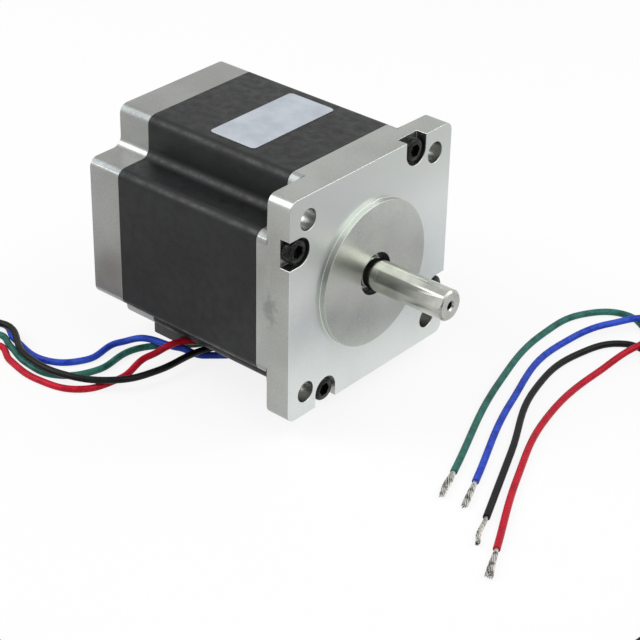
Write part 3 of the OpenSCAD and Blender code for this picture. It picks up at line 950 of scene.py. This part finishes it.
# %% A finish
class Finish(Nodes):
    """A material. Its constants are set on the shader, and its patterns feed it."""

    def __init__(self, name, **constants):
        self.material = bpy.data.materials.new(name)
        self.material.use_nodes = True
        super().__init__(self.material.node_tree)
        self.shader = self.tree.nodes["Principled BSDF"]
        self.place = self.node("ShaderNodeTexCoord", output="Object")
        for socket, value in constants.items():
            self.shader.inputs[socket.replace("_", " ")].default_value = value

    def mix(self, share, first, second):
        """A colour that goes from the first to the second."""
        return self.node("ShaderNodeMix", {"data_type": "RGBA"}, {0: share, 6: first, 7: second}, 2)

    def stretched(self, x, y, z):
        """The place on the piece, with each axis scaled, so that a pattern is drawn out along one."""
        return self.vectors("MULTIPLY", self.place, (x, y, z), "Vector")

    def clouds(self, size, detail=3.0, place=None):
        """Soft spots of about one size, from -0.5 to 0.5."""
        return self.node("ShaderNodeTexNoise", None, {
            "Vector": place or self.place, "Scale": 1 / size, "Detail": detail,
        }) - 0.5

    def lines(self, distance, width, detail):
        """Uneven fine lines across a distance, from -0.5 to 0.5."""
        return self.node("ShaderNodeTexNoise", {"noise_dimensions": "1D"}, {
            "W": distance, "Scale": 1 / width, "Detail": detail,
        }) - 0.5

    def axis(self, name):
        """One coordinate of the place on the piece."""
        return self.node("ShaderNodeSeparateXYZ", None, {0: self.place}, name)

    def ridges(self, name, pitch):
        """Even ridges across one axis, from -1 to 1."""
        return self.maths("SINE", self.axis(name) * (2 * math.pi / pitch))

    def paint(self, colour):
        """Sets the base colour."""
        self.feed(self.shader.inputs["Base Color"], colour)

    def paint_over(self, share, colour):
        """Lays a share of a colour over what has been painted so far."""
        painted = Signal(self, self.shader.inputs["Base Color"].links[0].from_socket)
        self.paint(self.mix(share, painted, colour))

    def mottle(self, pattern, dark, light, low=-0.15, high=0.15):
        """Paints with two colours, in patches that follow a pattern."""
        self.paint(self.mix(self.between(pattern, low, high), dark, light))

    def polish(self, roughness):
        """Sets the roughness."""
        self.feed(self.shader.inputs["Roughness"], roughness)

    def emboss(self, height):
        """Turns a height in metres into bumps."""
        bumps = self.node("ShaderNodeBump", None, {"Height": height, "Distance": 1.0, "Strength": 1.0})
        self.feed(self.shader.inputs["Normal"], bumps)


def dress(piece, finish):
    """Gives a whole piece one finish."""
    piece.data.materials.clear()
    piece.data.materials.append(finish.material)


# %% [markdown]
# ## Finishes of the bells
# All the bells are one alloy, but each surface keeps the mark of its tool. The sides are milled,
# and one has a dull smudge. The sides behind the flange are painted darker, which is painted
# shade. The front of the flange is faced and bright, with painted shade that darkens it towards
# its top, and the pilot is turned on a lathe, which leaves fine rings. One material with masks
# could hold all of them, but it is easier to read one finish for each surface, given to faces by
# their place and direction.

# %% Aluminium
# The smudge's place is given in coordinates that are stretched as the smudge is.
smudge_stretch = (1.2, 1, 0.65)
smudge = Vector((-7.4, -30, 0.1)) * mm
smudge_radius = 3.4 * mm
smudge_core = 0.8 * mm
smudge_strength = 0.5


def aluminium(name, light, dark, roughness):
    """Machined aluminium with cloudy patches and specks, and the height of its grain."""
    finish = Finish(name, Metallic=1.0)
    patch = finish.clouds(16 * mm, 4)
    speck = finish.clouds(0.6 * mm, 2)
    grain = finish.clouds(0.12 * mm, 2)
    finish.mottle(patch * 0.65 + speck * 0.35, dark, light, -0.14, 0.14)
    finish.polish(roughness + patch * 0.12 + grain * 0.16)
    return finish, grain * 0.006 * mm + speck * 0.006 * mm


def milled_side(name, light, dark):
    """An outer side, with faint strokes of the cutter across it and the smudge."""
    finish, height = aluminium(name, light, dark, 0.33)
    strokes = finish.clouds(0.5 * mm, 2, finish.stretched(1, 0.05, 0.05))
    finish.emboss(height + strokes * 0.006 * mm)
    distance = finish.vectors("DISTANCE", finish.stretched(*smudge_stretch), smudge)
    ragged = distance + finish.clouds(2 * mm) * 6 * mm
    share = finish.between(ragged, smudge_radius, smudge_core) * smudge_strength
    finish.paint_over(share, tone(112, 113, 108))
    return finish


def faced_front():
    """The bright front of the flange, with painted shade that darkens it towards its top."""
    finish, height = aluminium("faced_aluminium", tone(222, 227, 225), tone(213, 218, 215), 0.36)
    # Painted shade: the front is painted darker towards its top.
    finish.paint_over(finish.between(finish.axis("Z"), 0, frame_width / 2), tone(190, 194, 191))
    finish.emboss(height * 0.6)
    return finish


def turned_pilot():
    """The pilot, whose face shows the fine rings of the lathe."""
    finish, height = aluminium("turned_aluminium", tone(192, 196, 189), tone(181, 185, 178), 0.3)
    radius = finish.vectors("LENGTH", finish.stretched(0, 1, 1))
    rings = finish.lines(radius, 0.12 * mm, 2.0)
    finish.emboss(height * 0.5 + rings * 0.008 * mm)
    return finish


def rough_metal(name, light, dark):
    """A dull surface, left rough from the casting or the drill."""
    finish, height = aluminium(name, light, dark, 0.5)
    finish.shader.inputs["Metallic"].default_value = 0.3
    finish.emboss(height * 2.0)
    return finish


# %% Finishes of the bells
bell_finishes = {
    "flange side": milled_side("milled_flange", tone(172, 174, 170), tone(158, 160, 156)),
    # The body behind the flange gets a darker copy of the milled finish: painted shade.
    "body side": milled_side("milled_body_painted_shade", tone(158, 159, 157), tone(144, 145, 143)),
    "front": faced_front(),
    "pilot": turned_pilot(),
    "hole": rough_metal("drilled_aluminium", tone(176, 182, 183), tone(140, 147, 148)),
    "pocket": milled_side("milled_pocket", tone(176, 177, 173), tone(150, 151, 147)),
    # The shaft's hole is painted nearly black: painted shade in the deep hole.
    "shaft hole": rough_metal("shaft_hole_painted_shade", tone(40, 41, 39), tone(24, 25, 24)),
}
finish_numbers = {name: number for number, name in enumerate(bell_finishes)}
pocket_reach = 5.2 * mm
skin = 0.1 * mm
round_zone = 0.3 * mm
side_zone = 0.4 * mm


# %% Find the finish of a face
def is_outside(middle):
    """Whether a face's middle lies near the outer sides of the frame."""
    return max(abs(middle.y), abs(middle.z)) > frame_width / 2 - side_zone


def in_notch(middle):
    """Whether a face's middle lies in one of the notched corners."""
    return min(abs(middle.y), abs(middle.z)) > narrow_width / 2 - round_zone


def in_pocket(middle):
    """Whether a face's middle lies in the pocket of a screw's head."""
    near = any((middle.yz - place).length < pocket_reach for place in screw_places)
    return near and middle.x > -pocket_depth - skin


def bell_finish(face):
    """The name of the finish that suits a face."""
    middle = face.center
    radius = middle.yz.length
    faces_front = face.normal.x > same_way
    in_shaft_hole = radius < shaft_hole_radius + round_zone
    if middle.x > skin and (faces_front or not in_shaft_hole):
        return "pilot"
    if middle.x > -skin and (faces_front or radius > pilot_radius):
        return "front"
    if in_pocket(middle):
        return "pocket"
    if in_shaft_hole and middle.x > front_bearing[0]:
        return "shaft hole"
    if is_outside(middle) or in_notch(middle) or middle.x < rear_face + side_zone:
        return "flange side" if middle.x > -flange_thickness else "body side"
    return "hole"


# %% Give each face of the bells its finish
for bell in (front_bell, rear_bell):
    bell.data.materials.clear()
    for finish in bell_finishes.values():
        bell.data.materials.append(finish.material)
    for face in bell.data.polygons:
        face.material_index = finish_numbers[bell_finish(face)]
print("finishes on the front bell:", len(front_bell.data.materials))

# %% [markdown]
# ## Finishes of the stack, the shaft and the screws
# The stack is painted, but its sheets, half a millimetre thick, still show through the paint as
# very fine lines. The shaft is ground, which leaves fine rings, and its end is faced. The screws
# are blackened steel, worn to grey in specks. Lines as fine as these are bumps, not geometry.

# %% Painted laminations
sheet_pitch = 0.5 * mm


def painted_laminations():
    """Black paint with a soft shine over the edges of stacked sheets."""
    finish = Finish("painted_laminations", IOR=1.39)
    patch = finish.clouds(9 * mm, 4)
    speck = finish.clouds(0.5 * mm, 3)
    worn = finish.clouds(2.5 * mm, 3)
    finish.mottle(patch, tone(6, 7, 8), tone(13, 15, 17), -0.1)
    finish.polish(0.47 + worn * 0.5 + speck * 0.3)
    sheets = finish.ridges("X", sheet_pitch)
    finish.emboss(sheets * 0.0012 * mm + speck * 0.02 * mm)
    return finish


# %% Ground steel
def ground_steel():
    """Steel with the fine rings of the grinding wheel."""
    finish = Finish("ground_steel", Metallic=1.0)
    patch = finish.clouds(5 * mm, 3)
    rings = finish.lines(finish.axis("X"), 0.08 * mm, 3.0)
    finish.mottle(patch, tone(166, 167, 161), tone(184, 185, 178))
    finish.polish(0.2 + patch * 0.12 + rings * 0.2)
    finish.emboss(rings * 0.003 * mm)
    return finish


# %% Bare metal and blackened steel
def fine_metal(name, dark, light, roughness, grain_size):
    """A bare metal with patches and a grain of its own size."""
    finish = Finish(name, Metallic=1.0)
    patch = finish.clouds(3 * mm, 3)
    grain = finish.clouds(grain_size, 2)
    finish.mottle(patch * 0.6 + grain * 0.4, dark, light, -0.12, 0.12)
    finish.polish(roughness + grain * 0.15)
    finish.emboss(grain * grain_size * 0.03)
    return finish


def blackened_steel():
    """Nearly black steel, worn to grey in specks."""
    finish = Finish("blackened_steel", Metallic=0.8)
    patch = finish.clouds(1.2 * mm, 4)
    speck = finish.clouds(0.2 * mm, 3)
    finish.mottle(speck, tone(26, 26, 26), tone(120, 120, 115), 0.1, 0.22)
    finish.polish(0.28 + patch * 0.3)
    finish.emboss(speck * 0.006 * mm)
    return finish


# %% Dress the stack, the shaft and the screws
dress(stack, painted_laminations())
dress(shaft, ground_steel())
shaft_end = fine_metal("faced_steel", tone(188, 189, 184), tone(204, 205, 200), 0.34, 0.2 * mm)
shaft.data.materials.append(shaft_end.material)
for face in shaft.data.polygons:
    if face.normal.x > same_way and face.center.x > shaft_tip - skin:
        face.material_index = 1
screw_finish = blackened_steel()
for screw in screws:
    dress(screw, screw_finish)
print("dressed the stack, the shaft and", len(screws), "screws")

# %% [markdown]
# ## Finishes of the plastics
# Moulded plastic, silver film and lead insulation are all smooth plastics. What tells them
# apart is their grain: the moulding has a fine spark texture, the film is nearly even, and the
# insulation is cloudy and slightly lumpy, as soft PVC is after it has been coiled and handled.

# %% Moulded block and silver film
def moulded_black():
    """Black plastic with the fine texture of its mould."""
    finish = Finish("moulded_black", IOR=1.48)
    patch = finish.clouds(4 * mm, 3)
    texture = finish.clouds(0.25 * mm, 3)
    finish.mottle(patch, tone(30, 30, 31), tone(40, 40, 41))
    finish.polish(0.5 + texture * 0.3)
    finish.emboss(texture * 0.03 * mm)
    return finish


def silver_film():
    """Bare silver film, with a faint mottle under its varnish."""
    finish = Finish("silver_film", Metallic=0.25, Coat_Weight=0.2, Coat_Roughness=0.2)
    patch = finish.clouds(6 * mm, 3)
    flake = finish.clouds(0.15 * mm, 2)
    finish.mottle(patch * 0.6 + flake * 0.4, tone(162, 169, 178), tone(182, 188, 196), -0.12, 0.12)
    finish.polish(0.42 + flake * 0.2)
    finish.emboss(patch * 0.02 * mm + flake * 0.002 * mm)
    return finish


# %% Insulation and tinned wire
insulation_tones = {
    "red": (tone(158, 4, 30), tone(206, 26, 52)),
    "black": (tone(2, 2, 3), tone(22, 23, 23)),
    "green": (tone(20, 76, 68), tone(60, 128, 114)),
    "blue": (tone(24, 46, 156), tone(56, 92, 216)),
}


def insulation(colour):
    """Soft PVC, uneven in colour and along its surface, with painted shade where it turns away from
    the view.
    """
    dark, light = insulation_tones[colour]
    finish = Finish(colour + "_pvc", IOR=1.25)
    patch = finish.clouds(3 * mm, 4)
    speck = finish.clouds(0.5 * mm, 3)
    # Painted shade: the colour goes to the dark tone where the wire turns away from the view.
    edge = finish.node("ShaderNodeLayerWeight", None, {"Blend": 0.35}, "Facing")
    share = finish.between(patch * 0.7 + speck * 0.3, -0.2, 0.12) * (1 - edge)
    finish.paint(finish.mix(share, dark, light))
    finish.polish(0.4 + patch * 0.2)
    finish.emboss(patch * 0.04 * mm + speck * 0.012 * mm)
    return finish


def tinned_wire():
    """Tin over copper, in bright and grey patches."""
    finish = Finish("tinned_wire", Metallic=1.0)
    patch = finish.clouds(1.5 * mm, 3)
    speck = finish.clouds(0.1 * mm, 2)
    finish.mottle(patch, tone(104, 103, 100), tone(208, 206, 200), -0.2, 0.1)
    finish.polish(0.4 + speck * 0.3)
    finish.emboss(speck * 0.008 * mm)
    return finish


# %% Dress the outlet, the label and the leads
dress(outlet, moulded_black())
dress(label, silver_film())
tin = tinned_wire()
for colour in lead_routes:
    dress(leads[colour], insulation(colour))
    dress(bare_ends[colour], tin)
print("dressed the plastics")

# %% [markdown]
# ## Finishes of what is inside
# The parts inside are hidden until the motor is taken apart, but they are finished too. Copper
# shows its turns, stamped sheets their edges, sintered magnets their grain. Each finish goes on
# the solid parts as they are, through their material slots.

# %% Copper, sheets and plastic
def wound_copper():
    """Enamelled wire wound round a pole, seen as fine ridges."""
    finish = Finish("wound_copper", Metallic=0.85, Coat_Weight=0.4, Coat_Roughness=0.2)
    wire = 0.45 * mm
    patch = finish.clouds(3 * mm, 3)
    finish.mottle(patch, tone(150, 78, 40), tone(196, 112, 62))
    finish.polish(0.32 + patch * 0.15)
    finish.emboss((finish.ridges("Y", wire) + finish.ridges("Z", wire)) * 0.03 * mm)
    return finish


def stamped_sheets():
    """Bare electrical steel, in sheets stacked along the shaft."""
    finish = Finish("stamped_sheets", Metallic=1.0)
    sheets = finish.ridges("X", sheet_pitch)
    finish.mottle(finish.clouds(4 * mm, 3), tone(120, 122, 124), tone(150, 152, 153))
    finish.polish(0.4 + sheets * 0.06)
    finish.emboss(sheets * 0.01 * mm)
    return finish


def ivory_plastic():
    """The moulded plates that keep the wire off the steel."""
    finish = Finish("ivory_plastic", IOR=1.5)
    grain = finish.clouds(0.3 * mm, 2)
    finish.mottle(finish.clouds(5 * mm, 3), tone(214, 206, 184), tone(230, 224, 206))
    finish.polish(0.45 + grain * 0.2)
    finish.emboss(grain * 0.01 * mm)
    return finish


# %% Finishes of what is inside
copper = wound_copper()
sheets = stamped_sheets()
ivory = ivory_plastic()
bearing_steel = fine_metal("bearing_steel", tone(150, 151, 152), tone(182, 183, 184), 0.18, 0.1 * mm)
pressed_steel = fine_metal("pressed_steel", tone(140, 140, 138), tone(170, 170, 168), 0.32, 0.2 * mm)
sintered_magnet = fine_metal("sintered_magnet", tone(96, 98, 104), tone(124, 126, 132), 0.42, 0.3 * mm)
cage_brass = fine_metal("cage_brass", tone(170, 128, 58), tone(204, 164, 88), 0.3, 0.2 * mm)


# %% Dress what is inside
inner_finishes = {
    "phase_a_windings": copper,
    "phase_b_windings": copper,
    "wave_washer": pressed_steel,
    "rotor_spacer": pressed_steel,
    "rotor_magnets": sintered_magnet,
}
finishes_at_each_end = {
    "rotor_cups": sheets,
    "end_plate": ivory,
    "outer_ring": bearing_steel,
    "inner_ring": bearing_steel,
    "balls": bearing_steel,
    "shields": pressed_steel,
    "sleeve": pressed_steel,
    "ball_cage": cage_brass,
}
for name, finish in finishes_at_each_end.items():
    for end in ("front_", "rear_"):
        inner_finishes[end + name] = finish
for name, finish in inner_finishes.items():
    dress(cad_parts[name], finish)
print("dressed", len(inner_finishes), "parts inside")

# %% [markdown]
# ## The table and the light
# The picture's table and backdrop are plain white. They are white by their own glow only for the
# camera and for reflections, and a part of the table stays a plain diffuse surface, which keeps
# the motor's shadow. Metal that reflects nothing but white looks like paper, so a photographer
# leaves dark places where the camera can't see them. Here reflections find the side of the room
# and of the table where the camera stands dim. Two large lamps light the motor softly, and a
# small one behind it draws the thin bright line along the flange's edge.

# %% White for the eye only
camera_side = Vector((math.sin(camera_azimuth), -math.cos(camera_azimuth), 0))
darkest_reflection = 0.2


def seen_directly(nodes, dimness, camera_share=1.0):
    """A share for rays from the camera, 1 through glass, dimmer for reflections, 0 for other light."""
    reflected = nodes.ray("Glossy") * (1 - dimness * (1 - darkest_reflection))
    seen = nodes.maths("MAXIMUM", nodes.ray("Camera") * camera_share, reflected)
    return nodes.maths("MAXIMUM", seen, nodes.ray("Transmission"))


def towards_camera(nodes, place):
    """How far a place or a direction lies towards the camera's side."""
    return nodes.vectors("DOT_PRODUCT", place, camera_side)


# %% Table
table_height = -35 * mm
table_size = 560 * mm
table_glow = 0.85
dark_from = 25 * mm
dark_to = 95 * mm

bpy.ops.object.select_all(action="DESELECT")
bpy.ops.mesh.primitive_plane_add(size=table_size, location=(0, 0, table_height))
table = bpy.context.object
table.name = "table"
table_white = Finish("table_white", Roughness=0.9)
table_mottle = table_white.clouds(40 * mm, 2) + 0.5
table_white.paint(table_white.mix(table_mottle, tone(238, 238, 238), tone(242, 242, 242)))
glow = table_white.node("ShaderNodeEmission", None, {"Color": (1, 1, 1, 1), "Strength": 1.0})
near_side = table_white.between(towards_camera(table_white, table_white.place), dark_from, dark_to)
blend = table_white.node("ShaderNodeMixShader", None, {
    0: seen_directly(table_white, near_side, table_glow),
    1: Signal(table_white, table_white.shader.outputs[0]),
    2: glow,
})
table_white.feed(table_white.tree.nodes["Material Output"].inputs["Surface"], blend)
dress(table, table_white)
print("table is", round(table_size / mm), "mm wide")

# %% Room
bpy.context.scene.view_settings.view_transform = "Standard"
room_light = 0.5
wall_from = 0.7
wall_to = 0.98

world = bpy.data.worlds.new("room")
world.use_nodes = True
bpy.context.scene.world = world
room_nodes = Nodes(world.node_tree)
direction = room_nodes.node("ShaderNodeTexCoord", output="Generated")
camera_wall = room_nodes.between(towards_camera(room_nodes, direction), wall_from, wall_to)
background = world.node_tree.nodes["Background"]
background.inputs["Color"].default_value = (1, 1, 1, 1)
unreflected = (1 - room_nodes.ray("Glossy")) * room_light
room_strength = room_nodes.maths("MAXIMUM", seen_directly(room_nodes, camera_wall), unreflected)
room_nodes.feed(background.inputs["Strength"], room_strength)
print("nodes of the room:", len(world.node_tree.nodes))

# %% Lamps
lamp_target = Vector((-30, 0, 0)) * mm


def softbox(name, place, width, height, power):
    """A large soft lamp that looks at the motor."""
    data = bpy.data.lights.new(name, "AREA")
    data.shape = "RECTANGLE"
    data.size = width
    data.size_y = height
    data.energy = power
    lamp = add_object(name, data)
    lamp.location = place
    lamp.rotation_euler = (lamp_target - lamp.location).to_track_quat("-Z", "Y").to_euler()
    return lamp


lamps = [
    softbox("left_softbox", (-0.46, -0.42, 0.52), 0.42, 0.55, 3.3),
    softbox("front_softbox", (0.42, 0.08, 0.61), 0.7, 0.4, 2.2),
    softbox("edge_softbox", (0.43, 0.58, 0.5), 0.22, 0.22, 0.9),
]
print("lamps:", [lamp.name for lamp in lamps])
